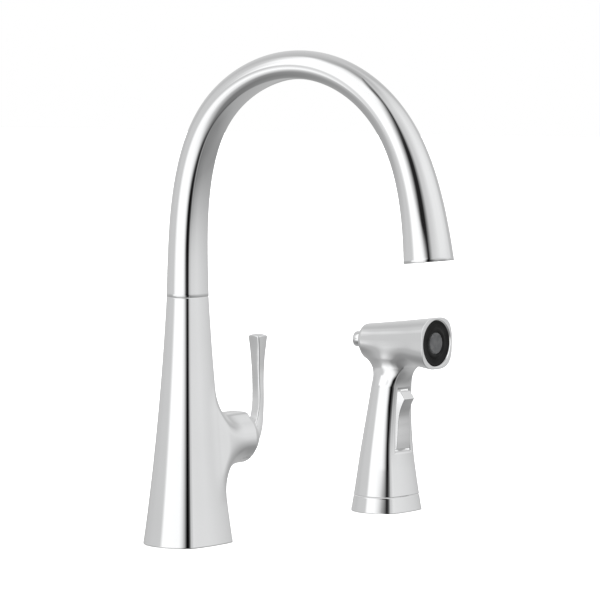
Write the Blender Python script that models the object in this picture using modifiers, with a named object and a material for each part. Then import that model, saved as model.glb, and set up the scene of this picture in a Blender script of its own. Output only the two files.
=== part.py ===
"""Single-lever kitchen faucet with a swing gooseneck spout and a separate side sprayer.

Frame: the origin is the centre of the faucet's base on the deck, +Z up, the spout points along -Y
and the lever hub along +X. The sprayer stands in its own holder further along +X.
All sizes below are in millimetres; the shape helpers turn them into metres.
"""
import math

import bmesh
import bpy
from mathutils import Vector

MM = 0.001
GAP = 0.3                  # clearance left between neighbouring pieces

# --- driving dimensions: faucet body ---------------------------------------------------------
BODY_TOP = 192.1           # height of the seam between body and spout
NECK_RADIUS = 16.45        # body radius at the seam
FLARE_LINEAR = 0.0554      # how the body widens below the seam
FLARE_SQUARE = 2.15e-4
FACET_ANGLE = math.radians(44.0)   # half angle of the flat on the spout side
FACET_DEPTH = 0.78         # distance of the flat's middle from the axis, in radii

# --- driving dimensions: gooseneck -----------------------------------------------------------
SPOUT_BOTTOM = 192.9
SPOUT_LENGTH = 448.0       # along the centreline
ARCH_RADIUS = 111.5        # bend radius of the main arch
BEND_START = -14.0         # centreline length where the leg starts to lean
BEND_FULL = 174.0          # where the arch radius is reached
SHOULDER = 142.0           # middle of the tighter bend at the back of the arch
SHOULDER_SPREAD = 27.0
SHOULDER_GAIN = 0.366
EASE_START = 328.0         # where the arch starts to open again, up to the outlet
EASE_RATIO = 0.253         # curvature left at the outlet
WAIST = 237.0              # centreline length of the thinnest section
SPOUT_R_SEAM = 16.5
SPOUT_R_WAIST = 12.2
SPOUT_R_OUTLET = 18.9
SPOUT_WALL = 1.6

# --- driving dimensions: lever hub and valve, measured along +X from the faucet's axis --------
HUB_HEIGHT = 77.5
HUB_END = 62.4
HUB_RADIUS = 19.9
HUB_TOP = 21.2             # the hub's crown is a little squarer and higher than its radius
PIVOT_X = 59.5             # centre of the handle's ball and of the stem's pin
BALL_RADIUS = 18.3
CARTRIDGE_RADIUS = 13.8
BARREL_RADIUS = 11.6

# --- driving dimensions: side sprayer ---------------------------------------------------------
SPRAY_X = 259.5
HOLDER_TOP = 13.0
WAND_BOTTOM = 13.5
HEAD_HEIGHT = 142.3        # axis of the horizontal head
HEAD_FRONT = -51.5
HEAD_REAR = 24.5
TRIGGER_PIVOT = (-13.8, 54.8)      # y, z of the trigger's pin
PLUNGER_HEIGHT = 90.0

# --- driving dimensions: below the deck -------------------------------------------------------
DECK = 12.0                # thickness of deck that the hardware is shown clamping
SHANK_RADIUS = 16.0

SEGMENTS = 16              # sides of a turned piece, shared so that nested pieces line up
ARC_POINTS = 16            # points round the curved side of a faceted section
FLAT_POINTS = 2            # and across its flat

for old in list(bpy.data.objects):
    bpy.data.objects.remove(old, do_unlink=True)

parts = bpy.data.collections.new("kitchen_faucet")
cutters = bpy.data.collections.new("cutters")
bpy.context.scene.collection.children.link(parts)
bpy.context.scene.collection.children.link(cutters)


# --- materials ---------------------------------------------------------------------------------
def material(name, colour, roughness, metallic):
    made = bpy.data.materials.new(name)
    made.use_nodes = True
    shader = made.node_tree.nodes["Principled BSDF"]
    shader.inputs["Base Color"].default_value = (*colour, 1.0)
    shader.inputs["Roughness"].default_value = roughness
    shader.inputs["Metallic"].default_value = metallic
    return made


FINISHES = {
    "chrome": ((0.82, 0.83, 0.84), 0.06, 1.0),
    "brass": ((0.70, 0.52, 0.24), 0.30, 1.0),
    "steel": ((0.55, 0.56, 0.57), 0.28, 1.0),
    "black_rubber": ((0.02, 0.02, 0.02), 0.60, 0.0),
    "black_plastic": ((0.03, 0.03, 0.03), 0.42, 0.0),
    "grey_plastic": ((0.34, 0.35, 0.36), 0.40, 0.0),
    "white_plastic": ((0.80, 0.80, 0.78), 0.45, 0.0),
    "ceramic": ((0.88, 0.87, 0.84), 0.18, 0.0),
}


# --- shape helpers -----------------------------------------------------------------------------
def add(name, mesh, finish=None):
    """Link a mesh as a part with its own material, or as a hidden cutter when finish is None."""
    made = bpy.data.objects.new(name, mesh)
    if finish is None:
        cutters.objects.link(made)
        made.hide_render = True
        made.display_type = 'WIRE'
    else:
        parts.objects.link(made)
        mesh.materials.append(material(name + "_" + finish, *FINISHES[finish]))
    return made


def from_bmesh(name, shape, finish=None):
    bmesh.ops.recalc_face_normals(shape, faces=shape.faces)
    mesh = bpy.data.meshes.new(name)
    shape.to_mesh(mesh)
    shape.free()
    mesh.shade_smooth()
    mesh.set_sharp_from_angle(angle=math.radians(35))
    return add(name, mesh, finish)


def turned(name, profile, finish=None, centre=(0, 0, 0), axis='Z', segments=SEGMENTS):
    """Turn a profile of (radius, height) points. It runs down the outer side, then up the inner."""
    closed = min(radius for radius, _ in profile) > 0
    mesh = bpy.data.meshes.new(name)
    count = len(profile)
    edges = [(i, i + 1) for i in range(count - 1)]
    if closed:
        edges.append((count - 1, 0))
    mesh.from_pydata([(r * MM, 0, h * MM) for r, h in profile], edges, [])
    made = add(name, mesh, finish)
    screw = made.modifiers.new("turn", 'SCREW')
    screw.steps = segments
    screw.render_steps = segments
    screw.use_merge_vertices = True
    screw.merge_threshold = 0.00002
    screw.use_smooth_shade = True
    made.location = Vector(centre) * MM
    if axis == 'X':
        made.rotation_euler = (0, math.pi / 2, 0)
    elif axis == 'Y':
        made.rotation_euler = (math.pi / 2, 0, 0)
    return made


def tube(name, outer, inner, low, high, finish=None, **place):
    """A plain sleeve, or a solid bar when inner is zero."""
    if inner > 0:
        profile = [(outer, high), (outer, low), (inner, low), (inner, high)]
    else:
        profile = [(0, high), (outer, high), (outer, low), (0, low)]
    return turned(name, profile, finish, **place)


def block(name, low, high, finish=None):
    shape = bmesh.new()
    bmesh.ops.create_cube(shape, size=1.0)
    size = [(b - a) * MM for a, b in zip(low, high)]
    middle = [(a + b) / 2 * MM for a, b in zip(low, high)]
    bmesh.ops.scale(shape, vec=size, verts=shape.verts)
    made = from_bmesh(name, shape, finish)
    made.location = middle
    return made


def loft(name, rings, finish=None, inner=None, at=(0, 0, 0)):
    """Skin a run of equal-count rings; with inner rings the result is an open-ended shell."""
    shape = bmesh.new()

    def skin(run, turn_over):
        rows = [[shape.verts.new(Vector(point) * MM) for point in ring] for ring in run]
        count = len(rows[0])
        for lower, upper in zip(rows, rows[1:]):
            for i in range(count):
                j = (i + 1) % count
                face = [lower[i], lower[j], upper[j], upper[i]]
                shape.faces.new(face[::-1] if turn_over else face)
        return rows

    outside = skin(rings, False)
    if inner is None:
        shape.faces.new(outside[0][::-1])
        shape.faces.new(outside[-1])
    else:
        inside = skin(inner, True)
        count = len(outside[0])
        for a, b in ((outside[0], inside[0]), (outside[-1], inside[-1])):
            for i in range(count):
                j = (i + 1) % count
                shape.faces.new([a[i], a[j], b[j], b[i]])
    made = from_bmesh(name, shape, finish)
    made.location = Vector(at) * MM
    return made


def cut(target, *tools, operation='DIFFERENCE', solver='EXACT'):
    for tool in tools:
        step = target.modifiers.new(tool.name, 'BOOLEAN')
        step.operation = operation
        step.solver = solver
        step.object = tool


def join(target, *tools):
    cut(target, *tools, operation='UNION')


def thread(radius, low, high, pitch, depth):
    """Outline of a threaded stretch, from the top down: each turn is a plain ring."""
    points = []
    for i in range(int((high - low) / pitch)):
        top = high - i * pitch
        points += [(radius - depth, top), (radius, top - 0.3 * pitch), (radius, top - 0.7 * pitch)]
    points.append((radius - depth, low))
    return points


def facet_ring(radius):
    """Round section whose -Y side is a slightly crowned flat, as (x, y) points."""
    points = []
    for i in range(ARC_POINTS + 1):
        turn = -math.pi / 2 + FACET_ANGLE + i * 2 * (math.pi - FACET_ANGLE) / ARC_POINTS
        points.append((radius * math.cos(turn), radius * math.sin(turn)))
    half = radius * math.sin(FACET_ANGLE)
    chord = radius * math.cos(FACET_ANGLE)
    crown = radius * FACET_DEPTH - chord
    for i in range(1, FLAT_POINTS):
        across = -1 + 2 * i / FLAT_POINTS
        points.append((half * across, -chord - crown * (1 - across * across)))
    return points


def squircle(half_width, up, down, power_up, power_down, count=20):
    """Rounded section as (across, height) points, squarer above where power_up exceeds 2."""
    points = []
    for i in range(count):
        turn = 2 * math.pi * i / count
        c, s = math.cos(turn), math.sin(turn)
        power = power_up if s > 0 else power_down
        tall = up if s > 0 else down
        scale = (abs(c) ** power + abs(s) ** power) ** (-1 / power)
        points.append((half_width * scale * c, tall * scale * s))
    return points


def body_radius(height):
    drop = BODY_TOP - height
    return NECK_RADIUS + FLARE_LINEAR * drop + FLARE_SQUARE * drop * drop


def steps(low, high, count):
    return [low + (high - low) * i / (count - 1) for i in range(count)]


# --- faucet body ---------------------------------------------------------------------------------
def faucet_body():
    heights = steps(0.0, BODY_TOP, 8)
    rings = [[(x, y, z) for x, y in facet_ring(body_radius(z))] for z in heights]
    body = loft("faucet_body", rings, "chrome")

    # side hub: its underside swells into the body, its crown stays level
    hub_rings = []
    for x, down in ((4.0, 44.0), (20.0, 39.0), (27.0, 31.0), (34.0, 25.0), (43.0, 21.2),
                    (52.0, HUB_RADIUS), (HUB_END, HUB_RADIUS)):
        section = squircle(HUB_RADIUS, HUB_TOP, down, 2.4, 2.0)
        hub_rings.append([(x, y, HUB_HEIGHT + z) for y, z in section])
    hub = loft("cut_hub", hub_rings)
    join(body, hub)

    # inside: a tapering hollow, the neck's bore and the stepped bore for the valve
    hollow = turned("cut_hollow", [(0, BODY_TOP + 1.0), (9.8, BODY_TOP + 1.0), (9.8, 150.0),
                                   (10.9, 150.0), (21.0, -1.0), (0, -1.0)])
    valve = turned("cut_valve", [(0, 70.0), (18.75, 70.0), (18.75, 47.0), (17.7, 47.0),
                                 (17.7, 41.0), (14.2, 41.0), (14.2, 6.0), (0, 6.0)],
                   centre=(0, 0, HUB_HEIGHT), axis='X')
    groove = tube("cut_base_groove", 26.3, 22.4, -1.0, 1.8, segments=24)
    cut(body, hollow, valve, groove)


def fixed_faucet_parts():
    tube("base_gasket", 26.0, 22.7, 0.0, 1.5, "black_rubber", segments=24)

    # threaded shank that hangs from the body through the deck
    turned("mounting_shank", [(19.5, 11.0), (19.5, 3.0)]
           + thread(SHANK_RADIUS, -52.0, 3.0, 7.8, 1.4) + [(12.2, -52.0), (12.2, 11.0)],
           "brass")
    tube("deck_seal", 27.0, SHANK_RADIUS + GAP, -DECK - 2.3, -DECK - GAP, "black_rubber")
    tube("clamp_plate", 26.0, SHANK_RADIUS + GAP, -DECK - 4.4, -DECK - 2.6, "steel")

    nut_low, nut_high = -34.0, -20.0
    nut = tube("mounting_nut", 25.0, 0, nut_low, nut_high, "brass", segments=6)
    cut(nut, tube("cut_nut_bore", SHANK_RADIUS + GAP, 0, nut_low - 1, nut_high + 1))
    for side, name in ((-1, "left"), (1, "right")):
        x = side * 20.4
        hole = tube("cut_screw_" + name, 2.1, 0, nut_low - 1, nut_high + 1, centre=(x, 0, 0),
                    segments=12)
        cut(nut, hole)
        turned("clamp_screw_" + name, [(0, -16.8), (1.8, -16.8), (1.8, -35.0), (3.4, -35.0),
                                       (3.4, -38.0), (0, -38.0)], "steel", centre=(x, 0, 0),
               segments=12)


def waterway():
    """Cast waterway: seat for the cartridge, two inlets, a mixed outlet and a spray branch."""
    core = tube("waterway", 10.2, 0, 12.0, 148.0, "brass")
    boss = tube("cut_boss", 13.6, 0, -3.0, 33.0, centre=(0, 0, HUB_HEIGHT), axis='X')
    join(core, boss)
    mixed = tube("cut_mixed", 3.2, 0, HUB_HEIGHT - 1.3, 150.0, segments=12)
    mixed_in = tube("cut_mixed_in", 3.0, 0, -1.1, 35.0, centre=(0, 0, HUB_HEIGHT), axis='X',
                    segments=12)
    cut(core, mixed, mixed_in, solver='MANIFOLD')
    for side, name in ((-1, "hot"), (1, "cold")):
        passage = side * 6.6
        rise = tube("cut_rise_" + name, 2.0, 0, 10.0, HUB_HEIGHT + 1, centre=(0, passage, 0),
                    segments=8)
        feed = tube("cut_feed_" + name, 1.8, 0, -0.7, 35.0, centre=(0, passage, HUB_HEIGHT),
                    axis='X', segments=8)
        cut(core, rise, feed, solver='MANIFOLD')
        turned(name + "_inlet", [(4.6, 11.7), (4.6, -58.0), (5.6, -58.0), (5.6, -66.0),
                                 (3.0, -66.0), (3.0, 11.7)], "brass",
               centre=(0, side * 7.0, 0), segments=12)
    turned("spray_outlet", [(3.4, 11.7), (3.4, -53.0), (4.4, -53.0), (4.4, -58.0), (2.2, -58.0),
                            (2.2, 11.7)], "brass", centre=(-8.0, 0, 0), segments=12)


def cartridge():
    """Ceramic-disc mixing cartridge, stacked outwards along the hub's axis."""
    at = {"centre": (0, 0, HUB_HEIGHT), "axis": 'X'}
    tube("cartridge_seal", 12.8, 9.6, 33.3, 34.8, "black_rubber", **at)
    turned("cartridge_housing", [(BARREL_RADIUS, 62.5), (BARREL_RADIUS, 41.0),
                                 (CARTRIDGE_RADIUS, 41.0), (CARTRIDGE_RADIUS, 35.1),
                                 (9.4, 35.1), (9.4, 55.0), (6.6, 55.0), (6.6, 62.5)],
           "white_plastic", **at)
    base = tube("cartridge_base", 9.1, 0, 35.4, 42.6, "grey_plastic", **at)
    fixed = tube("fixed_disc", 9.0, 0, 43.0, 46.0, "ceramic", **at)
    for y, z, name in ((-4.2, -3.0, "hot"), (4.2, -3.0, "cold"), (0.0, 4.2, "mixed")):
        port = tube("cut_port_" + name, 1.9, 0, 34.0, 48.0, centre=(0, y, HUB_HEIGHT + z),
                    axis='X', segments=8)
        cut(base, port)
        cut(fixed, port)
    turned("cartridge_nut", [(17.4, 46.5), (17.4, 41.3), (12.0, 41.3), (12.0, 46.5)], "brass", **at)
    tube("moving_disc", 5.6, 0, 46.3, 48.8, "ceramic", **at)

    rotor = turned("cartridge_rotor", [(0, 64.0), (6.2, 64.0), (6.2, 54.7), (9.0, 54.7),
                                       (9.0, 49.2), (0, 49.2)], "grey_plastic", **at)
    slot = block("cut_rotor_slot", (48.0, -2.6, HUB_HEIGHT - 5.3), (66.0, 2.6, HUB_HEIGHT + 5.3))
    pin_hole = tube("cut_rotor_pin", 1.5, 0, -9, 9, centre=(PIVOT_X, 0, HUB_HEIGHT), axis='Y',
                    segments=8)
    cut(rotor, slot, pin_hole)
    tube("stem_pin", 1.1, 0, -5.9, 5.9, "steel", centre=(PIVOT_X, 0, HUB_HEIGHT), axis='Y',
         segments=8)


def handle():
    """Ball-shaped cap with the upswept lever in one casting, its stem and its set screw."""
    centre = (PIVOT_X, 0, HUB_HEIGHT)
    inner_radius = 15.8
    mouth = -5.5           # the cap's open edge, measured from the ball's centre
    arc_steps = 7

    def arc(radius):
        reach = math.acos(mouth / radius)
        turns = [reach * i / arc_steps for i in range(arc_steps + 1)]
        return [(radius * math.sin(turn), radius * math.cos(turn)) for turn in turns]

    outside = arc(BALL_RADIUS)
    inside = arc(inner_radius)
    outside[0] = (0.0, BALL_RADIUS)
    inside[0] = (0.0, inner_radius)
    ball = turned("lever_handle", outside + inside[::-1], "chrome", centre=centre, axis='X',
                  segments=20)

    # lever: (x, z, thickness, width) along its centreline, thickness in the XZ plane
    stations = ((73.5, 77.5, 15.0, 15.0), (78.0, 79.5, 13.0, 13.0), (82.5, 84.5, 9.5, 10.8),
                (85.3, 91.5, 7.0, 9.5), (86.6, 99.5, 5.9, 9.2), (87.1, 107.5, 5.5, 9.2),
                (87.0, 121.6, 6.0, 8.8), (86.8, 139.0, 7.5, 9.7), (86.8, 157.0, 10.1, 10.6))
    rings = []
    for i, (x, z, thick, wide) in enumerate(stations):
        before = stations[max(i - 1, 0)]
        after = stations[min(i + 1, len(stations) - 1)]
        along = Vector((after[0] - before[0], 0, after[1] - before[1])).normalized()
        across = Vector((along.z, 0, -along.x))
        ring = []
        for u, v in squircle(1.0, 1.0, 1.0, 5.0, 5.0, count=12):
            point = Vector((x - PIVOT_X, 0, z - HUB_HEIGHT)) + across * (u * thick / 2)
            ring.append((point.x, v * wide / 2, point.z))
        rings.append(ring)
    arm = loft("cut_arm", rings, at=centre)
    socket = tube("cut_socket_boss", 6.4, 0, 7.5, 16.6, centre=centre, axis='X', segments=12)
    join(ball, arm, socket)
    square = block("cut_socket", (66.0, -3.8, HUB_HEIGHT - 3.8), (72.6, 3.8, HUB_HEIGHT + 3.8))
    screw_hole = tube("cut_set_screw", 1.8, 0, 3.0, 20.0, centre=(69.6, 0, HUB_HEIGHT),
                      segments=8)
    screw_hole.rotation_euler = (math.pi, 0, 0)
    cut(ball, square, screw_hole)
    grub = tube("handle_set_screw", 1.4, 0, 4.1, 13.0, "steel", centre=(69.6, 0, HUB_HEIGHT),
                segments=8)
    grub.rotation_euler = (math.pi, 0, 0)

    stem = block("cartridge_stem", (66.3, -3.5, HUB_HEIGHT - 3.5), (72.3, 3.5, HUB_HEIGHT + 3.5),
                 "brass")
    neck = block("cut_stem_neck", (56.5, -2.2, HUB_HEIGHT - 2.8), (67.0, 2.2, HUB_HEIGHT + 2.8))
    tip = block("cut_stem_tip", (49.6, -2.2, HUB_HEIGHT - 1.2), (57.5, 2.2, HUB_HEIGHT + 1.2))
    join(stem, neck, tip)
    eye = tube("cut_stem_eye", 1.5, 0, -4, 4, centre=centre, axis='Y', segments=8)
    cut(stem, eye)


# --- spout -----------------------------------------------------------------------------------------
def smooth(value):
    value = min(max(value, 0.0), 1.0)
    return value * value * (3 - 2 * value)


def curvature(run):
    rise = smooth((run - BEND_START) / (BEND_FULL - BEND_START))
    fall = smooth((run - EASE_START) / (SPOUT_LENGTH - EASE_START))
    tighter = 1 + SHOULDER_GAIN * math.exp(-((run - SHOULDER) / SHOULDER_SPREAD) ** 2)
    return rise * (1 - (1 - EASE_RATIO) * fall) * tighter / ARCH_RADIUS


def spout_path(count):
    """Centreline stations as (y, z, lean) where lean is the turn away from straight up."""
    fine = 2000
    step = SPOUT_LENGTH / fine
    y, z, lean = 0.0, SPOUT_BOTTOM, 0.0
    stations = []
    wanted = [round(i * fine / (count - 1)) for i in range(count)]
    for i in range(fine + 1):
        if i in wanted:
            stations.append((y, z, lean, i * step))
        lean += curvature((i + 0.5) * step) * step
        y -= math.sin(lean) * step
        z += math.cos(lean) * step
    return stations


def spout_radius(run):
    if run < WAIST:
        return SPOUT_R_WAIST + (SPOUT_R_SEAM - SPOUT_R_WAIST) * ((WAIST - run) / WAIST) ** 1.45
    return SPOUT_R_WAIST + (SPOUT_R_OUTLET - SPOUT_R_WAIST) * (
        (run - WAIST) / (SPOUT_LENGTH - WAIST)) ** 2


def spout():
    outer, inner = [], []
    stations = spout_path(25)
    for y, z, lean, run in stations:
        radius = spout_radius(run)
        for rings, size in ((outer, radius), (inner, radius - SPOUT_WALL / FACET_DEPTH)):
            ring = []
            for u, v in facet_ring(size):
                ring.append((u, y + v * math.cos(lean), z + v * math.sin(lean)))
            rings.append(ring)
    loft("spout_tube", outer, "chrome", inner=inner)

    # socket inside the spout's foot that turns on the post, and the ring that keeps it there
    tube("spout_socket", 9.7, 9.1, SPOUT_BOTTOM + 2.2, 232.0, "brass")
    tube("spout_clip", 8.95, 7.9, 216.5, 217.9, "steel")

    # aerator at the outlet, built on the outlet's own axis
    y, z, lean, _ = stations[-1]
    seat = bpy.data.objects.new("outlet_axis", None)
    parts.objects.link(seat)
    seat.location = (0, y * MM, z * MM)
    seat.rotation_euler = (lean, 0, 0)
    pieces = [
        turned("aerator_housing", [(10.9, -1.0), (10.9, -16.0), (8.6, -16.0), (8.6, -12.4),
                                   (9.6, -12.4), (9.6, -3.0), (8.4, -3.0), (8.4, -1.0)], "chrome"),
        tube("aerator_insert", 9.3, 0, -9.0, -3.4, "white_plastic"),
        tube("aerator_screen", 9.3, 0, -12.0, -9.3, "steel"),
        tube("aerator_washer", 10.6, 7.0, -18.2, -16.3, "black_rubber"),
    ]
    bushing = loft("outlet_bushing", [[(u, v, h) for u, v in facet_ring(15.3)]
                                      for h in (-15.5, -0.8)], "brass")
    bushing_bore = tube("cut_bushing", 11.2, 0, -20.0, 1.0)
    cut(bushing, bushing_bore)
    for piece in pieces + [bushing, bushing_bore]:
        piece.parent = seat


def spout_mount():
    """Post that the spout turns on, with its seals, wear ring and the spray diverter inside."""
    turned("spout_post", [(8.8, 232.0), (8.8, 227.6), (7.6, 227.6), (7.6, 224.9),
                          (8.8, 224.9), (8.8, 218.2), (7.6, 218.2), (7.6, 216.2),
                          (8.8, 216.2), (8.8, 208.6), (7.6, 208.6), (7.6, 205.9),
                          (8.8, 205.9), (8.8, 192.0), (9.5, 192.0), (9.5, 152.0),
                          (5.0, 152.0), (5.0, 174.0), (6.2, 174.0), (6.2, 232.0)], "brass")
    for name, middle in (("post_oring_lower", 207.25), ("post_oring_upper", 226.25)):
        ring = []
        for i in range(6):
            turn = math.radians(60) * -i
            ring.append((8.37 + 0.42 * math.cos(turn), middle + 0.9 * math.sin(turn)))
        turned(name, ring, "black_rubber")
    tube("swivel_washer", 10.2, 9.1, 192.4, 194.8, "white_plastic")
    tube("diverter_seat", 5.9, 3.2, 174.3, 178.0, "brass")
    turned("diverter_piston", [(0, 190.0), (5.4, 190.0), (5.4, 186.0), (2.6, 186.0), (2.6, 176.0),
                               (0, 176.0)], "grey_plastic")
    tube("diverter_cap", 5.9, 2.6, 204.3, 206.8, "grey_plastic")
    coil("diverter_spring", 4.2, 0.35, 190.7, 203.9, 5, (0, 0, 0))


def coil(name, radius, wire, low, high, turns, centre, axis='Z'):
    """Steel spring: square-ended wire wound about its own axis."""
    per_turn, sides = 8, 4
    count = turns * per_turn + 1
    rings = []
    for i in range(count):
        turn = 2 * math.pi * i / per_turn
        height = low + (high - low) * i / (count - 1)
        ring = []
        for j in range(sides):
            around = 2 * math.pi * j / sides
            out = radius + wire * math.cos(around)
            ring.append((out * math.cos(turn), out * math.sin(turn),
                         height + wire * math.sin(around)))
        rings.append(ring)
    made = loft(name, rings, "steel", at=centre)
    if axis == 'Y':
        made.rotation_euler = (math.pi / 2, 0, 0)
    return made


# --- side sprayer ------------------------------------------------------------------------------------
def wand_section(height):
    """Radius and forward shift of the wand's section; it leans towards the trigger as it rises."""
    climb = min(max((height - 35.0) / 85.0, 0.0), 1.0)
    radius = 16.6 + 13.2 * (1 - min(height, 115.0) / 115.0) ** 1.45
    return radius, -7.0 * climb ** 1.8


def sprayer_holder():
    rings = []
    for z in (0.0, HOLDER_TOP / 2, HOLDER_TOP):
        radius, _ = wand_section(z)
        rings.append([(x, y, z) for x, y in facet_ring(radius)])
    holder = loft("spray_holder", rings, "chrome", at=(SPRAY_X, 0, 0))
    at = {"centre": (SPRAY_X, 0, 0)}
    bore = turned("cut_holder_bore", [(0, 14.0), (19.3, 14.0), (19.3, 9.7), (16.3, 9.7),
                                      (16.3, -1.0), (0, -1.0)], **at)
    groove = tube("cut_holder_groove", 20.6, 17.4, -1.0, 1.8, **at)
    cut(holder, bore, groove)
    tube("holder_gasket", 20.3, 17.7, 0.0, 1.5, "black_rubber", **at)
    turned("holder_shank", [(19.0, 12.4), (19.0, 10.0)] + thread(15.9, -40.0, 10.0, 8.3, 1.2)
           + [(13.3, -40.0), (13.3, 12.4)], "black_plastic", **at)
    tube("holder_washer", 24.0, 16.2, -DECK - 2.3, -DECK - GAP, "black_rubber", **at)
    nut = tube("holder_nut", 22.5, 0, -24.0, -DECK - 2.6, "white_plastic", segments=8, **at)
    cut(nut, tube("cut_holder_nut", 16.3, 0, -26.0, -DECK, **at))


def head_ring(y, size, power):
    section = squircle(size, size, size, power, power)
    return [(x, y, HEAD_HEIGHT + z) for x, z in section]


def wand():
    rings = []
    for z in (WAND_BOTTOM, 30.0, 50.0, 70.0, 92.0, 112.0, 128.0):
        radius, shift = wand_section(z)
        rings.append([(x, y + shift, z) for x, y in facet_ring(radius)])
    shell = loft("wand_shell", rings, "chrome", at=(SPRAY_X, 0, 0))
    head = loft("cut_head", [head_ring(HEAD_FRONT, 21.4, 3.2), head_ring(-40.0, 20.4, 2.9),
                             head_ring(-27.0, 18.9, 2.7), head_ring(0.0, 15.7, 2.4),
                             head_ring(20.5, 13.6, 2.3),
                             head_ring(HEAD_REAR, 8.4, 2.1)], at=(SPRAY_X, 0, 0))
    join(shell, head)

    hollow = turned("cut_wand_hollow", [(0, 112.0), (7.4, 112.0), (8.4, 95.0), (16.5, 12.0),
                                        (0, 12.0)], centre=(SPRAY_X, -1.0, 0))
    along = {"centre": (SPRAY_X, 0, HEAD_HEIGHT), "axis": 'Y'}
    bore = turned("cut_head_bore", [(0, 53.0), (19.5, 53.0), (19.5, 49.1), (17.0, 49.1),
                                    (17.0, 45.5), (12.6, 45.5), (12.6, 30.0), (10.3, 30.0),
                                    (10.3, -16.0), (6.9, -20.0), (6.9, -26.0), (0, -26.0)],
                  **along)
    riser = tube("cut_riser", 5.0, 0, 108.0, 140.0, centre=(SPRAY_X, -4.0, 0))
    slot = loft("cut_trigger_slot",
                [[(-9.9, -40, 50.8), (9.9, -40, 50.8), (9.9, -8.5, 50.8), (-9.9, -8.5, 50.8)],
                 [(-7.3, -40, 102.0), (7.3, -40, 102.0), (7.3, -8.5, 102.0), (-7.3, -8.5, 102.0)]],
                at=(SPRAY_X, 0, 0))
    pivot_y, pivot_z = TRIGGER_PIVOT
    pin_at = {"centre": (SPRAY_X, pivot_y, pivot_z), "axis": 'X', "segments": 8}
    pin_hole = tube("cut_trigger_pin", 1.4, 0, -13.5, 13.5, **pin_at)
    cut(shell, hollow, bore, riser, slot, pin_hole)
    tube("trigger_pin", 1.0, 0, -13.2, 13.2, "steel", **pin_at)

    # lower plug that stands in the holder and takes the hose
    turned("hose_nipple", [(14.2, 20.0), (14.2, WAND_BOTTOM + 0.6), (12.9, WAND_BOTTOM + 0.6),
                           (12.9, -4.0), (9.5, -4.0), (9.5, -18.0), (5.0, -18.0),
                           (5.0, 20.0)], "black_plastic", centre=(SPRAY_X, 0, 0))


def trigger():
    """Paddle hinged at its foot; its lip stands proud of the wand under the head."""
    # (y, z, half width) down the finger side, then the back
    front = ((-18.6, 100.6, 6.7), (-22.9, 94.8, 6.6), (-20.0, 88.0, 6.9), (-18.4, 81.0, 7.4),
             (-17.8, 73.0, 8.0), (-17.7, 64.0, 8.6), (-17.6, 56.5, 9.1), (-17.2, 52.3, 9.4))
    back = ((-14.2, 101.0), (-13.8, 94.0), (-13.8, 88.0), (-13.6, 81.0), (-13.2, 73.0),
            (-12.4, 64.0), (-11.0, 56.5), (-11.0, 52.3))
    rings = []
    for (y, z, half), (back_y, back_z) in zip(front, back):
        rings.append([(-half, y, z), (half, y, z), (half, back_y, back_z),
                      (-half, back_y, back_z)])
    pivot_y, pivot_z = TRIGGER_PIVOT
    local = [[(x, y - pivot_y, z - pivot_z) for x, y, z in ring] for ring in rings]
    paddle = loft("trigger", local[::-1], "chrome", at=(SPRAY_X, pivot_y, pivot_z))
    eye = tube("cut_trigger_eye", 1.4, 0, -12, 12, centre=(SPRAY_X, pivot_y, pivot_z), axis='X',
               segments=8)
    cut(paddle, eye)


def spray_valve():
    """On-off valve in the grip: a cross plunger that the trigger pushes against its spring."""
    housing = turned("valve_housing", [(7.0, 110.0), (7.0, 80.0), (5.2, 80.0), (5.2, 20.4),
                                       (2.4, 20.4), (2.4, 110.0)], "black_plastic",
                     centre=(SPRAY_X, -1.0, 0))
    plunger_at = {"centre": (SPRAY_X, 0, PLUNGER_HEIGHT), "axis": 'Y'}
    guide = turned("cut_plunger_guide", [(0, 12.0), (3.8, 12.0), (3.8, 4.2), (1.9, 4.2),
                                         (1.9, -5.6), (0, -5.6)], segments=12, **plunger_at)
    cut(housing, guide)
    turned("valve_plunger", [(0, 13.3), (3.4, 13.3), (3.4, 12.3), (1.6, 12.3), (1.6, -1.5),
                             (0, -1.5)], "steel", segments=12, **plunger_at)
    coil("valve_spring", 2.7, 0.35, 4.7, 11.8, 4, (SPRAY_X, 0, PLUNGER_HEIGHT), axis='Y')


def spray_head():
    """Nozzle with an outer spray ring and a centre stream, switched by the push button behind."""
    along = {"centre": (SPRAY_X, 0, HEAD_HEIGHT), "axis": 'Y'}
    turned("nozzle_core", [(16.7, 49.0), (16.7, 45.8), (12.3, 45.8), (12.3, 31.0), (4.2, 31.0),
                           (4.2, 49.0)], "black_plastic", **along)
    tube("spray_ring", 19.2, 9.0, 49.4, 50.9, "black_rubber", **along)
    tube("stream_disc", 8.7, 0, 49.4, 50.7, "grey_plastic", **along)
    tube("spool_guide", 10.0, 2.6, -7.0, -3.6, "black_plastic", **along)
    turned("mode_button", [(0, 42.0), (2.2, 42.0), (2.2, -20.6), (6.6, -20.6), (6.6, -31.5),
                           (0, -31.5)], "chrome", **along)
    coil("mode_spring", 4.2, 0.4, -20.1, -7.5, 5, (SPRAY_X, 0, HEAD_HEIGHT), axis='Y')


faucet_body()
fixed_faucet_parts()
waterway()
cartridge()
handle()
spout()
spout_mount()
sprayer_holder()
wand()
trigger()
spray_valve()
spray_head()
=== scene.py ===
"""Looks of the single-lever kitchen faucet with its swing gooseneck spout and side sprayer.

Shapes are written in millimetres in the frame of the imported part: +Z up, the spout along -Y and
the lever hub along +X. The chrome castings are level surfaces of smooth distance fields.
"""

import math

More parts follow.
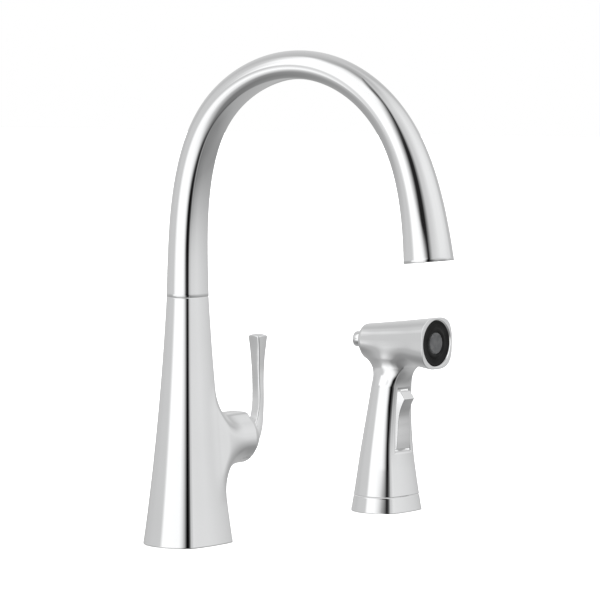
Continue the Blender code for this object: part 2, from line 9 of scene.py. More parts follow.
import bpy
import numpy as np
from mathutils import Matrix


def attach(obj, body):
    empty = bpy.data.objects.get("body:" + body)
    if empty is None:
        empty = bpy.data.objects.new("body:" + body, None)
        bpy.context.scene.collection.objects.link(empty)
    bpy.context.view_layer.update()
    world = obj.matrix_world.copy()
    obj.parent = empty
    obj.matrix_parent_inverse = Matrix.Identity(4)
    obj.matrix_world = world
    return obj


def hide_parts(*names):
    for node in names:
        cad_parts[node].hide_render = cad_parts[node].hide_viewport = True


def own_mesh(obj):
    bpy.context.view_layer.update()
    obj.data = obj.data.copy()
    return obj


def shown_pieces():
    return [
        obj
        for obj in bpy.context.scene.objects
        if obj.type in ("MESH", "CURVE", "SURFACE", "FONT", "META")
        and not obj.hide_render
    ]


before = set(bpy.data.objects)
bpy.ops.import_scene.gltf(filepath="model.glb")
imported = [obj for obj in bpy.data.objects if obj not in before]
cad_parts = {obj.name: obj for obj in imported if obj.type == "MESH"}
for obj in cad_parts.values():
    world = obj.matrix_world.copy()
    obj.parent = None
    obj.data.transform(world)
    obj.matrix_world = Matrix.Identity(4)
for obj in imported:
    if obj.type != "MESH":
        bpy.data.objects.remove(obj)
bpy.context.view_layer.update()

MM = 0.001


# --- distance fields -----------------------------------------------------------------------------
def smooth_min(a, b, k):
    """Union whose inside corner is filled by a fillet about k wide."""
    k = np.maximum(k, 1e-6)
    near = np.maximum(k - np.abs(a - b), 0.0) / k
    return np.minimum(a, b) - near * near * k / 4


def smooth_max(a, b, k):
    """Overlap of the two, its outside corner rounded about k wide."""
    return -smooth_min(-a, -b, k)


def fade(value, start, end):
    """Smooth rise from 0 where value is at start to 1 where it is at end."""
    part = np.clip((value - start) / (end - start), 0.0, 1.0)
    return part * part * (3 - 2 * part)


def eased(at, places, values):
    """Smooth curve through the listed values, level beyond its ends."""
    places, values = np.asarray(places, dtype=float), np.asarray(values, dtype=float)
    at = np.clip(at, places[0], places[-1])
    slopes = np.gradient(values, places, axis=0)
    cell = np.clip(np.searchsorted(places, at, side='right') - 1, 0, len(places) - 2)
    span = places[cell + 1] - places[cell]
    t = (at - places[cell]) / span
    if values.ndim == 2:
        t, span = t[:, None], span[:, None]
    return ((2 * t ** 3 - 3 * t ** 2 + 1) * values[cell]
            + (t ** 3 - 2 * t ** 2 + t) * slopes[cell] * span
            + (3 * t ** 2 - 2 * t ** 3) * values[cell + 1]
            + (t ** 3 - t ** 2) * slopes[cell + 1] * span)


def gradient(field, points, reach=0.02):
    """Slope of the field at each point."""
    slope = np.empty_like(points)
    for axis in range(3):
        shift = np.zeros(3)
        shift[axis] = reach
        slope[:, axis] = (field(points + shift) - field(points - shift)) / (2 * reach)
    return slope


GRID_GROWTH = 0.35         # how fast the cells widen away from a fine place


def spaced(low, high, step, fine=()):
    """Grid stations from low to high, closer together round each (place, half width, step)."""
    at = [low]
    while at[-1] < high:
        here = step
        for place, half, close in fine:
            away = max(abs(at[-1] - place) - half, 0.0)
            here = min(here, close + away * GRID_GROWTH)
        at.append(at[-1] + here)
    return np.array(at)


NEVER_ZERO = 1e-7          # a grid value nearer zero than this counts as just outside
SNAP_PASSES = 4            # steps that pull each vertex onto the surface
SNAP_REACH = 0.5           # longest such step
LEAST_SLOPE = 0.05         # keeps a step finite where the field is nearly level
TINY = 1e-9


def level_surface(field, u, v, w, place=None):
    """Mesh of field = 0 on a grid: one vertex per crossed cell, one quad per crossed edge."""
    grid = np.stack(np.meshgrid(u, v, w, indexing='ij'), axis=-1)
    if place is not None:
        grid = place(grid)
    value = field(grid.reshape(-1, 3)).reshape(grid.shape[:3])
    value = np.where(np.abs(value) < NEVER_ZERO, NEVER_ZERO, value)
    cells = tuple(n - 1 for n in value.shape)
    total = np.zeros(cells + (3,))
    count = np.zeros(cells)
    crossings = []
    for axis in range(3):
        head = [slice(None)] * 3
        tail = [slice(None)] * 3
        head[axis] = slice(1, None)
        tail[axis] = slice(None, -1)
        a, b = value[tuple(tail)], value[tuple(head)]
        where = np.argwhere((a < 0) != (b < 0))
        index = tuple(where.T)
        part = (a[index] / (a[index] - b[index]))[:, None]
        low, high = grid[tuple(tail)][index], grid[tuple(head)][index]
        point = low + part * (high - low)
        others = [i for i in range(3) if i != axis]
        around = []
        for d0, d1 in ((-1, -1), (0, -1), (0, 0), (-1, 0)):
            cell = where.copy()
            cell[:, others[0]] += d0
            cell[:, others[1]] += d1
            around.append(cell)
            ok = np.all((cell >= 0) & (cell < cells), axis=1)
            np.add.at(total, tuple(cell[ok].T), point[ok])
            np.add.at(count, tuple(cell[ok].T), 1)
        crossings.append((around, a[index] < 0, axis))
    number = -np.ones(cells, dtype=int)
    active = count > 0
    number[active] = np.arange(active.sum())
    verts = total[active] / count[active][:, None]
    faces = []
    for around, outward, axis in crossings:
        inside = np.ones(len(outward), dtype=bool)
        for cell in around:
            inside &= np.all((cell >= 0) & (cell < cells), axis=1)
        corner = np.stack([number[tuple(cell[inside].T)] for cell in around], axis=1)
        forward = outward[inside]
        if axis == 1:
            forward = ~forward
        faces.append(np.where(forward[:, None], corner, corner[:, ::-1]))
    for _ in range(SNAP_PASSES):
        slope = gradient(field, verts)
        steepness = np.maximum((slope ** 2).sum(1), LEAST_SLOPE)[:, None]
        step = field(verts)[:, None] * slope / steepness
        length = np.linalg.norm(step, axis=1)[:, None]
        verts = verts - step * np.minimum(1.0, SNAP_REACH / np.maximum(length, TINY))
    normals = gradient(field, verts)
    normals /= np.maximum(np.linalg.norm(normals, axis=1), TINY)[:, None]
    return verts, np.concatenate(faces), normals


def stand_for(piece, node, body):
    """The piece takes the place of a CAD node, which it hides, and rides on that body."""
    bpy.context.scene.collection.objects.link(piece)
    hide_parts(node)
    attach(piece, body)


def add_piece(name, verts, faces, normals, material, body, node):
    """Piece of this mesh (in mm) and material that stands for the node."""
    mesh = bpy.data.meshes.new(name)
    mesh.from_pydata([tuple(p) for p in np.asarray(verts) * MM], [],
                     [tuple(int(i) for i in f) for f in faces])
    mesh.validate()
    mesh.shade_smooth()
    if normals is not None:
        mesh.normals_split_custom_set_from_vertices([tuple(n) for n in normals])
    mesh.materials.append(material)
    stand_for(bpy.data.objects.new(name, mesh), node, body)


def grid_faces(rows, around, looped=False):
    """Quads between closed rows of points; looped joins the last row to the first."""
    faces = []
    for i in range(rows if looped else rows - 1):
        here, there = i * around, (i + 1) % rows * around
        for j in range(around):
            k = (j + 1) % around
            faces.append((here + j, here + k, there + k, there + j))
    return faces


# --- shapes: faucet body -------------------------------------------------------------------------
BODY_TOP = 192.1
NECK_RADIUS = 16.45
FLARE_LINEAR = 0.0554
FLARE_SQUARE = 2.15e-4
FACET_ANGLE = math.radians(44.0)
FACET_DEPTH = 0.78         # distance of the flat's crown from the axis, in radii
FACET_EDGE = 0.035         # rounding of the flat's two edges, in radii
HUB_HEIGHT = 77.5
HUB_START, HUB_END = 2.0, 62.4
HUB_RADIUS = 19.8
HUB_RIM = 0.7              # rounding of the edge at the hub's end
HUB_SWEEP = 29.5           # fillet between the hub and the column, below
HUB_SWEEP_LESS = 2.5       # how much smaller it is above
HUB_FLAT_RISE = 0.9        # how much prouder the flat stands across the hub
PAD_START = 12.0
PAD_TOP = 21.2
PAD_HEIGHT = 22.0
PAD_POWER = 2.25           # squareness of the crown along the top of the hub
SEAM_FILL = 0.3            # how far the seam is closed up, to leave a hairline
PIVOT_X = 59.5
WELL_TOP = 150.0           # above it the inside is the straight bore for the spout's post
POST_BORE, WELL_BORE, WELL_TAPER = 9.8, 10.9, 0.0669
MOUTH_X, MOUTH_BORE = 47.0, 18.75
SEAT_X, SEAT_BORE = 41.0, 17.7
DUCT_X, DUCT_BORE = 6.0, 14.2
GROOVE_RADIUS, GROOVE_HALF, GROOVE_DEPTH = 24.35, 1.95, 1.8
OPENING_EDGE = 0.35        # rounding where a casting's outside meets its openings
HUB_SCALE = 25.0           # width of one grid unit out at the hub's end


def body_radius(z):
    """Radius of the flared column, drawn from its top down."""
    drop = BODY_TOP - z
    return NECK_RADIUS + FLARE_LINEAR * drop + FLARE_SQUARE * drop * drop


def flat_side(x, y, radius, bow=1.0):
    """Field of the crowned flat on a round section's -Y side; bow 0 leaves it plane."""
    half = radius * math.sin(FACET_ANGLE)
    chord = radius * math.cos(FACET_ANGLE)
    crown = radius * FACET_DEPTH - chord
    return -y - chord - crown * (1 - bow * (x / half) ** 2)


def faceted(x, y, radius, edge=FACET_EDGE):
    """Round section with a slightly crowned flat on its -Y side."""
    return smooth_max(np.hypot(x, y) - radius, flat_side(x, y, radius), edge * radius)


def body_field(p):
    """Faucet body: flared column, side hub and the flat across both."""
    x, y, z = p[:, 0], p[:, 1], p[:, 2]
    radius = body_radius(np.clip(z, -5.0, BODY_TOP + 5.0))
    up = z - HUB_HEIGHT
    spread = np.maximum(np.hypot(y, up), 1e-6)

    # side hub, swept into the round column before the flat is cut across both
    hub = smooth_max(spread - HUB_RADIUS, x - HUB_END, HUB_RIM)
    hub = np.maximum(hub, HUB_START - x)
    sweep = (HUB_SWEEP - HUB_SWEEP_LESS * fade(up, -15.0, 15.0)) * fade(x, -1.0, 11.0)
    body = smooth_min(np.hypot(x, y) - radius, hub, sweep)
    level = fade(x, 0.0, 14.0) * fade(np.abs(up), 48.0, 22.0)
    flat = flat_side(x, y, radius, 1 - level)
    flat = flat - HUB_FLAT_RISE * fade(x, 14.0, 28.0) * level
    body = smooth_max(body, flat, (FACET_EDGE + 0.10 * level) * radius)

    # squarer crown along the top of the hub, its crease softening to the sides
    rounding = (np.abs(y / HUB_RADIUS) ** PAD_POWER
                + np.abs(np.maximum(up, 0.0) / PAD_HEIGHT) ** PAD_POWER) ** (1 / PAD_POWER)
    pad = smooth_max((rounding - 1.0) * HUB_RADIUS, up - PAD_TOP, 0.5)
    pad = smooth_max(pad, x - HUB_END, HUB_RIM)
    pad = np.maximum(pad, PAD_START - x)
    share = fade(np.abs(y), 15.0, 9.0) * fade(up, 8.0, 14.0)
    crease = 0.6 + 3.0 * fade(np.abs(y), 4.0, 11.0)
    body = (1 - share) * body + share * smooth_min(body, pad, crease)
    body = smooth_max(body, z - BODY_TOP - SEAM_FILL, 0.5)
    body = smooth_max(body, -z, 0.9)

    # hollow inside and the stepped bore for the valve
    well = np.where(z > WELL_TOP, POST_BORE, WELL_BORE + (WELL_TOP - z) * WELL_TAPER)
    hollow = np.hypot(x, y) - well
    bore = np.where(x > MOUTH_X, MOUTH_BORE, np.where(x > SEAT_X, SEAT_BORE, DUCT_BORE))
    valve = np.maximum(spread - bore, DUCT_X - x)
    body = smooth_max(body, -np.minimum(hollow, valve), OPENING_EDGE)

    # groove for the gasket under the foot
    groove = np.abs(np.hypot(x, y) - GROOVE_RADIUS) - GROOVE_HALF
    return np.maximum(body, -np.maximum(groove, z - GROOVE_DEPTH))


def body_place(grid):
    """Grid that follows the flare near the column and stands square at the hub's end."""
    u, v, w = grid[..., 0], grid[..., 1], grid[..., 2]
    radius = body_radius(np.clip(w, 0.0, BODY_TOP))
    far = fade(u, 1.15, 1.65)
    x = u * radius * (1 - far) + u * HUB_SCALE * far
    return np.stack([x, v * radius, w], axis=-1)


# --- shapes: gooseneck ---------------------------------------------------------------------------
SPOUT_BOTTOM = 192.9
SPOUT_LENGTH = 448.0
ARCH_RADIUS = 111.5
# run along the centreline where the bend sets in, where it is full, where it is tightest and
# where it eases out again towards the outlet
BEND_START, BEND_FULL = -14.0, 174.0
SHOULDER, SHOULDER_SPREAD, SHOULDER_GAIN = 142.0, 27.0, 0.366
EASE_START, EASE_RATIO = 328.0, 0.253
WAIST = 237.0              # run to the thinnest place
SPOUT_R_SEAM, SPOUT_R_WAIST, SPOUT_R_OUTLET = 16.5, 12.2, 18.9
SPOUT_WALL = 1.6
SPOUT_RIM = 0.35           # rounding of the outer edge at both ends
RIM_TURNS = (0.0, 0.35, 0.8, 1.2)
MOUTH_BEVEL = 0.3          # bevel of the inner edge at both ends
PATH_STEPS = 4000          # steps of the centreline's integration
SPOUT_STATIONS = 330


def spout_path(count):
    """Centreline stations as (run, y, z, lean)."""
    step = SPOUT_LENGTH / PATH_STEPS
    run = (np.arange(PATH_STEPS) + 0.5) * step
    rise = fade(run, BEND_START, BEND_FULL)
    fall = fade(run, EASE_START, SPOUT_LENGTH)
    tighter = 1 + SHOULDER_GAIN * np.exp(-((run - SHOULDER) / SHOULDER_SPREAD) ** 2)
    bend = rise * (1 - (1 - EASE_RATIO) * fall) * tighter / ARCH_RADIUS
    lean = np.concatenate([[0.0], np.cumsum(bend * step)])
    middle = (lean[1:] + lean[:-1]) / 2
    y = np.concatenate([[0.0], np.cumsum(-np.sin(middle) * step)])
    z = SPOUT_BOTTOM + np.concatenate([[0.0], np.cumsum(np.cos(middle) * step)])
    every = np.linspace(0, PATH_STEPS, count).round().astype(int)
    return every * step, y[every], z[every], lean[every]


def spout_radius(run):
    """Radius of the tube, tapering to the waist and widening to the outlet."""
    leg = (np.maximum(WAIST - run, 0.0) / WAIST) ** 1.45
    outlet = (np.maximum(run - WAIST, 0.0) / (SPOUT_LENGTH - WAIST)) ** 2
    return (SPOUT_R_WAIST + (SPOUT_R_SEAM - SPOUT_R_WAIST) * leg
            + (SPOUT_R_OUTLET - SPOUT_R_WAIST) * outlet)


def section_turns():
    """Angles round a faceted section, packed closely at the two edges of its flat."""
    flat = np.linspace(-1, 1, 15)
    edge = math.degrees(FACET_ANGLE)
    close = np.array([-5.0, -3.2, -2.0, -1.2, -0.6, 0.0, 0.6, 1.2, 2.0, 3.2, 5.0])
    arc = np.linspace(edge + 8.0, 360.0 - edge - 8.0, 84)
    turns = np.concatenate([flat * (edge - 8.0), edge + close, arc, 360.0 - edge + close])
    return np.radians(np.unique(np.round(turns % 360.0, 4)))


def section_outline(turns):
    """Points of the faceted section, in radii, at each angle from -Y."""
    across, deep = np.sin(turns), -np.cos(turns)
    low, high = np.full(len(turns), 0.5), np.full(len(turns), 1.05)
    for _ in range(40):
        middle = (low + high) / 2
        value = faceted(across * middle, deep * middle, 1.0)
        low = np.where(value < 0, middle, low)
        high = np.where(value < 0, high, middle)
    return across * low, deep * low


def build_spout(material):
    """Gooseneck: outer rings from the seam to the outlet, then inner rings back again."""
    turns = section_turns()
    u, v = section_outline(turns)
    run, y, z, lean = spout_path(SPOUT_STATIONS)
    radius = spout_radius(run)
    z = z - SEAM_FILL * 0.7 * fade(run, 20.0, 0.0)
    rings = []

    def ring(size, at, back):
        s, c = math.sin(lean[at]), math.cos(lean[at])
        py, pz = y[at] + s * back, z[at] - c * back
        rings.append(np.stack([u * size, py + v * size * c, pz + v * size * s], axis=1))

    def rim_ring(at, turn, inwards):
        ring(radius[at] - SPOUT_RIM * (1 - math.sin(turn)), at,
             inwards * SPOUT_RIM * (1 - math.cos(turn)))

    for turn in RIM_TURNS:
        rim_ring(0, turn, -1)
    for i in range(2, len(run) - 2):
        ring(radius[i], i, 0.0)
    for turn in reversed(RIM_TURNS):
        rim_ring(-1, turn, 1)

    thick = SPOUT_WALL / FACET_DEPTH
    ring(radius[-1] - thick + MOUTH_BEVEL, -1, 0.0)
    ring(radius[-1] - thick, -1, MOUTH_BEVEL)
    for i in range(len(run) - 3, 1, -6):
        ring(radius[i] - thick, i, 0.0)
    ring(radius[0] - thick, 0, -MOUTH_BEVEL)
    ring(radius[0] - thick + MOUTH_BEVEL, 0, 0.0)
    add_piece("spout_tube_chrome", np.concatenate(rings),
              grid_faces(len(rings), len(turns), looped=True), None, material,
              "spout", "spout_tube")


# --- shapes: ball cap and lever ------------------------------------------------------------------
BALL_RADIUS, BALL_HOLLOW = 18.3, 15.8
BALL_BACK = -5.5           # where the cap ends, behind the pivot
BOSS_RADIUS, BOSS_BACK = 6.4, 7.5
SOCKET_HALF, SOCKET_BACK, SOCKET_FRONT = 3.8, 4.0, 13.1
SCREW_X, SCREW_RADIUS = 69.6, 1.8
LEVER_TOP, LEVER_X = 158.5, 86.85
# lever centreline: (x, z, thickness across it, width along Y)
LEVER = np.array([
    (72.5, 76.5, 15.0, 14.5), (77.5, 79.0, 13.0, 12.8), (81.9, 83.6, 10.0, 11.0),
    (84.6, 89.4, 7.7, 9.9), (86.1, 96.0, 6.4, 9.35), (86.9, 103.0, 5.8, 9.2),
    (87.1, 112.0, 5.6, 9.1), (86.95, 121.6, 6.0, 8.85), (86.85, 130.0, 6.8, 8.9),
    (86.75, 139.0, 7.6, 9.9), (86.8, 148.0, 9.1, 11.1), (86.85, 157.2, 11.5, 12.3)])


def resampled(stations, count):
    """Smooth run of evenly spaced stations through the listed ones."""
    along = np.concatenate([[0.0], np.cumsum(np.hypot(*np.diff(stations[:, :2], axis=0).T))])
    return eased(np.linspace(0, along[-1], count), along, stations)


LEVER_RUN = resampled(LEVER, 70)
LEVER_SKEW = 0.12          # the face towards the column is drawn a little out of square


def bar_field(p):
    """Signed distance from the swept rectangular bar of the lever."""
    ax, az = LEVER_RUN[:-1, 0], LEVER_RUN[:-1, 1]
    dx, dz = np.diff(LEVER_RUN[:, 0]), np.diff(LEVER_RUN[:, 1])
    size = dx * dx + dz * dz
    best = np.full(len(p), np.inf)
    across = np.zeros(len(p))
    along = np.zeros(len(p))
    # nearest span of the centreline, the first and the last of them running on past their ends
    for i in range(len(ax)):
        low = -3.0 if i == 0 else 0.0
        high = 30.0 if i == len(ax) - 1 else 1.0
        t = np.clip(((p[:, 0] - ax[i]) * dx[i] + (p[:, 2] - az[i]) * dz[i]) / size[i], low, high)
        ox, oz = p[:, 0] - ax[i] - t * dx[i], p[:, 2] - az[i] - t * dz[i]
        away = ox * ox + oz * oz
        closer = away < best
        best = np.where(closer, away, best)
        signed = np.sign(ox * dz[i] - oz * dx[i]) * np.sqrt(away)
        across = np.where(closer, signed, across)
        along = np.where(closer, i + t, along)
    count = np.arange(len(LEVER_RUN))
    thick = np.interp(along, count, LEVER_RUN[:, 2]) / 2
    wide = np.interp(along, count, LEVER_RUN[:, 3]) / 2
    # the faces bow out very slightly, and the tip is a little crowned
    sheet = np.abs(across) - thick + 0.003 * p[:, 1] ** 2
    sheet = sheet + np.where(across < 0, LEVER_SKEW, 0.0) * p[:, 1]
    side = np.abs(p[:, 1]) - wide + 0.01 * across ** 2
    bar = smooth_max(sheet, side, 1.1)
    top = p[:, 2] - LEVER_TOP + 0.026 * ((p[:, 0] - LEVER_X) ** 2 + p[:, 1] ** 2)
    return smooth_max(bar, top, 0.8)


def handle_field(p):
    """Lever handle: ball cap and lever in one casting."""
    x, y, z = p[:, 0] - PIVOT_X, p[:, 1], p[:, 2] - HUB_HEIGHT
    away = np.sqrt(x * x + y * y + z * z)
    solid = smooth_min(away - BALL_RADIUS, bar_field(p), 2.2)
    solid = smooth_max(solid, BALL_BACK - x, 0.5)
    # hollow for the valve's nose, with a boss and its square socket left standing in it
    boss = np.maximum(np.hypot(y, z) - BOSS_RADIUS, BOSS_BACK - x)
    hollow = np.maximum(away - BALL_HOLLOW, -boss)
    socket = np.maximum(np.maximum(np.abs(y), np.abs(z)) - SOCKET_HALF, x - SOCKET_FRONT)
    socket = np.maximum(socket, SOCKET_BACK - x)
    # hole for the set screw, from below
    hole = np.maximum(np.hypot(p[:, 0] - SCREW_X, y) - SCREW_RADIUS, z)
    return smooth_max(solid, -np.minimum(np.minimum(hollow, socket), hole), 0.3)


# --- shapes: side sprayer ------------------------------------------------------------------------
SPRAY_X = 259.5
HOLDER_TOP = 13.0
WAND_BOTTOM = 13.5
GRIP_TOP, GRIP_WAIST, GRIP_FLARE = 115.0, 16.6, 13.2
SHIFT_START, SHIFT_SPAN, SHIFT_GAIN = 35.0, 85.0, -7.0
GRIP_EDGE, HOLDER_EDGE = 0.04, 0.05     # rounding of the flats' edges, in radii
NECK_FILLET = 21.0
HEAD_HEIGHT = 142.3
HEAD_FRONT = -51.5
HEAD_REAR = 24.5
REAR_BEVEL, REAR_BEVEL_RADIUS = (0.798, 0.603), 7.8
# along Y: half width of the head and the power that squares its section
HEAD_STATIONS = (-54.0, -40.0, -28.0, -16.0, -4.0, 10.0, 22.0, 26.0)
HEAD_SIZES = (21.9, 20.2, 18.7, 17.3, 16.0, 14.5, 13.4, 13.1)
HEAD_POWERS = (3.0, 2.85, 2.7, 2.6, 2.5, 2.4, 2.35, 2.3)
# radius of the bore through the head, by distance forward of the grip's axis
BORE_PLACES = (-26.0, -20.0, -16.0, 30.0, 30.2, 45.5, 45.7, 49.1, 49.3, 53.0)
BORE_RADII = (6.9, 6.9, 10.3, 10.3, 12.6, 12.6, 17.0, 17.0, 19.4, 19.6)
HOLLOW_HEIGHTS, HOLLOW_RADII = (12.0, 95.0, 112.0), (16.5, 8.4, 7.4)
RISER_RADIUS, RISER_FOOT, RISER_TOP = 5.0, 108.0, 140.0
SLOT_FOOT, SLOT_TOP = 50.8, 102.0
SLOT_HALF_FOOT, SLOT_HALF_TOP = 9.9, 7.3
SLOT_BACK = -8.5
SLOT_EDGE = 2.4            # soft edge where the slot cuts the grip's flat
TRIGGER_Y, TRIGGER_Z = -13.8, 54.8
TRIGGER_EYE = 1.4
TRIGGER_FOOT, TRIGGER_TOP = 52.4, 100.9
CREST_Y, CREST_Z = -23.7, 94.8
# finger side of the trigger, from the foot up: height, y of the face, half width
TRIGGER_FACE = ((52.3, -17.3, 9.4), (58.0, -17.6, 9.0), (64.0, -17.7, 8.6),
                (73.0, -17.8, 8.0), (81.0, -18.3, 7.4), (88.0, -20.1, 7.0),
                (92.0, -22.1, 6.9), (CREST_Z, CREST_Y, 6.9))
TRIGGER_BACK_HEIGHTS = (52.3, 56.5, 64.0, 73.0, 81.0, 94.0, 101.0)
TRIGGER_BACK = (-11.0, -11.0, -12.4, -13.2, -13.6, -13.8, -14.2)
HOLDER_STEP, HOLDER_CUP, HOLDER_BORE = 9.7, 19.3, 16.3


def wand_radius(z):
    """Radius of the grip and of the holder below it, widening to the foot."""
    return GRIP_WAIST + GRIP_FLARE * (1 - np.clip(z, 0.0, GRIP_TOP) / GRIP_TOP) ** 1.45


def wand_shift(z):
    """How far the grip's axis leans forward."""
    return SHIFT_GAIN * np.clip((z - SHIFT_START) / SHIFT_SPAN, 0.0, 1.0) ** 1.8


def wand_field(p):
    """Sprayer shell: grip and head in one casting."""
    x, y, z = p[:, 0] - SPRAY_X, p[:, 1], p[:, 2]
    up = z - HEAD_HEIGHT
    spread = np.hypot(x, up)

    # grip: its faceted section draws in where it runs up into the head
    drawn_in = 1.0 + 0.75 * fade(z, 104.0, 138.0)
    shaft = faceted(x * drawn_in, y - wand_shift(z), wand_radius(z), GRIP_EDGE)
    shaft = smooth_max(shaft, up + 9.0, 12.0)

    # head: round at the back, opening to a rounded square at the front
    power = eased(y, HEAD_STATIONS, HEAD_POWERS)
    head = (np.abs(x) ** power + np.abs(up) ** power) ** (1 / power)
    head = head - eased(y, HEAD_STATIONS, HEAD_SIZES)
    bevel = (REAR_BEVEL[0] * (y - HEAD_REAR)
             + REAR_BEVEL[1] * (spread - REAR_BEVEL_RADIUS))
    head = smooth_max(head, bevel, 1.6)
    head = smooth_max(head, y - HEAD_REAR, 0.8)
    head = smooth_max(head, HEAD_FRONT - y, 0.6)
    # the fillet fades out before the head's widest line
    wand = smooth_min(shaft, head, NECK_FILLET)
    wand = wand + (head - wand) * fade(up, -15.0, -1.0)
    wand = smooth_max(wand, WAND_BOTTOM - z, 0.6)

    # nozzle seat with the bore through to the button, the grip's hollow and the riser between
    bore = spread - np.interp(-y, BORE_PLACES, BORE_RADII)
    hollow = np.hypot(x, y + 1.0) - np.interp(z, HOLLOW_HEIGHTS, HOLLOW_RADII)
    hollow = np.maximum(hollow, z - HOLLOW_HEIGHTS[-1])
    riser = np.maximum(np.hypot(x, y + 4.0) - RISER_RADIUS, RISER_FOOT - z)
    riser = np.maximum(riser, z - RISER_TOP)
    gone = np.minimum(bore, np.minimum(hollow, riser))
    wand = smooth_max(wand, -gone, OPENING_EDGE)
    return smooth_max(wand, -slot_field(x, y, z), SLOT_EDGE)


def slot_field(x, y, z):
    """Slot in the grip's flat that the trigger sits in."""
    half = (SLOT_HALF_FOOT
            + (z - SLOT_FOOT) * (SLOT_HALF_TOP - SLOT_HALF_FOOT) / (SLOT_TOP - SLOT_FOOT))
    slot = np.maximum(np.abs(x) - half, np.maximum(SLOT_FOOT - z, z - SLOT_TOP))
    return np.maximum(slot, y - SLOT_BACK)


def trigger_field(p):
    """Squeeze trigger: a paddle with its crest near the top and the pin's eye at its foot."""
    x, y, z = p[:, 0] - SPRAY_X, p[:, 1], p[:, 2]
    high, deep, wide = (list(column) for column in zip(*TRIGGER_FACE))
    face = eased(z, high, deep)
    half = eased(z, high, wide)
    back = np.interp(z, TRIGGER_BACK_HEIGHTS, TRIGGER_BACK)
    # the lip turns back in above its crest
    over = (z - CREST_Z) * 0.6 - (y - CREST_Y) * 0.8
    paddle = smooth_max(face - y + 0.004 * x * x, over, 0.6)
    paddle = smooth_max(np.abs(x) - half, paddle, 0.5)
    paddle = smooth_max(paddle, z - TRIGGER_TOP, 0.6)
    paddle = smooth_max(paddle, TRIGGER_FOOT - z, 0.6)
    paddle = smooth_max(paddle, y - back, 0.4)
    eye = np.hypot(y - TRIGGER_Y, z - TRIGGER_Z) - TRIGGER_EYE
    return smooth_max(paddle, -eye, 0.2)


def wand_place(grid):
    """Grid that follows the grip's flare and lean."""
    u, v, w = grid[..., 0], grid[..., 1], grid[..., 2]
    radius = wand_radius(w)
    return np.stack([SPRAY_X + u * radius, v * radius + wand_shift(w), w], axis=-1)


def holder_field(p):
    """Deck cup that the sprayer stands in."""
    x, y, z = p[:, 0] - SPRAY_X, p[:, 1], p[:, 2]
    cup = faceted(x, y, wand_radius(z), HOLDER_EDGE)
    cup = smooth_max(cup, z - HOLDER_TOP, 0.7)
    cup = smooth_max(cup, -z, 0.7)
    bore = np.hypot(x, y) - np.where(z > HOLDER_STEP, HOLDER_CUP, HOLDER_BORE)
    return smooth_max(cup, -bore, OPENING_EDGE)


# --- materials -----------------------------------------------------------------------------------
RELIEF_DEPTH = 0.0002


def finish(name, colours, roughness, metallic=0.0, scale=40.0, bump=0.0, bump_scale=400.0,
           stretch=(1.0, 1.0, 1.0), coat=0.0, specular=0.5):
    """Principled surface whose colour, gloss and relief vary with noise over the object.

    colours and roughness are the two ends of their ranges; the scales are noise sizes per metre.
    """
    made = bpy.data.materials.new(name)
    made.use_nodes = True
    tree = made.node_tree
    shader = tree.nodes["Principled BSDF"]
    shader.inputs["Metallic"].default_value = metallic
    shader.inputs["Specular IOR Level"].default_value = specular
    if coat:
        shader.inputs["Coat Weight"].default_value = coat
    place = tree.nodes.new("ShaderNodeTexCoord")
    mapping = tree.nodes.new("ShaderNodeMapping")
    mapping.inputs["Scale"].default_value = stretch
    tree.links.new(place.outputs["Object"], mapping.inputs["Vector"])

    def noise(size, detail):
        node = tree.nodes.new("ShaderNodeTexNoise")
        node.inputs["Scale"].default_value = size
        node.inputs["Detail"].default_value = detail
        tree.links.new(mapping.outputs["Vector"], node.inputs["Vector"])
        return node.outputs["Fac"]

    broad = noise(scale, 3.0)
    ramp = tree.nodes.new("ShaderNodeValToRGB")
    for stop, place_at, colour in zip(ramp.color_ramp.elements, (0.3, 0.7), colours):
        stop.position = place_at
        stop.color = (*colour, 1.0)
    tree.links.new(broad, ramp.inputs["Fac"])
    tree.links.new(ramp.outputs["Color"], shader.inputs["Base Color"])
    gloss = tree.nodes.new("ShaderNodeMapRange")
    gloss.inputs["To Min"].default_value = roughness[0]
    gloss.inputs["To Max"].default_value = roughness[1]
    tree.links.new(noise(scale * 2.3, 4.0), gloss.inputs["Value"])
    tree.links.new(gloss.outputs["Result"], shader.inputs["Roughness"])
    if bump:
        relief = tree.nodes.new("ShaderNodeBump")
        relief.inputs["Strength"].default_value = bump
        relief.inputs["Distance"].default_value = RELIEF_DEPTH
        tree.links.new(noise(bump_scale, 5.0), relief.inputs["Height"])
        tree.links.new(relief.outputs["Normal"], shader.inputs["Normal"])
    return made


chrome = finish("polished_chrome", ((0.90, 0.905, 0.91), (0.925, 0.93, 0.935)), (0.03, 0.065),
                metallic=1.0, scale=18.0)
satin_chrome = finish("satin_chrome", ((0.86, 0.865, 0.87), (0.90, 0.905, 0.91)), (0.09, 0.15),
                      metallic=1.0, scale=60.0, bump=0.05, bump_scale=900.0)
brass = finish("machined_brass", ((0.62, 0.44, 0.18), (0.72, 0.54, 0.25)), (0.20, 0.38),
               metallic=1.0, scale=60.0, bump=0.15, bump_scale=700.0, stretch=(1.0, 1.0, 8.0))
steel = finish("stainless_steel", ((0.50, 0.51, 0.52), (0.62, 0.63, 0.64)), (0.22, 0.36),
               metallic=1.0, scale=80.0, bump=0.10, bump_scale=900.0, stretch=(1.0, 1.0, 6.0))
rubber = finish("black_rubber", ((0.004, 0.004, 0.004), (0.009, 0.009, 0.009)), (0.40, 0.62),
                scale=150.0, bump=0.35, bump_scale=1500.0, specular=0.15)
black_plastic = finish("black_plastic", ((0.014, 0.014, 0.015), (0.022, 0.022, 0.023)),
                       (0.30, 0.42), scale=120.0, bump=0.15, bump_scale=1200.0)
grey_plastic = finish("grey_plastic", ((0.24, 0.245, 0.25), (0.29, 0.295, 0.30)), (0.32, 0.45),
                      scale=120.0, bump=0.15, bump_scale=1200.0)
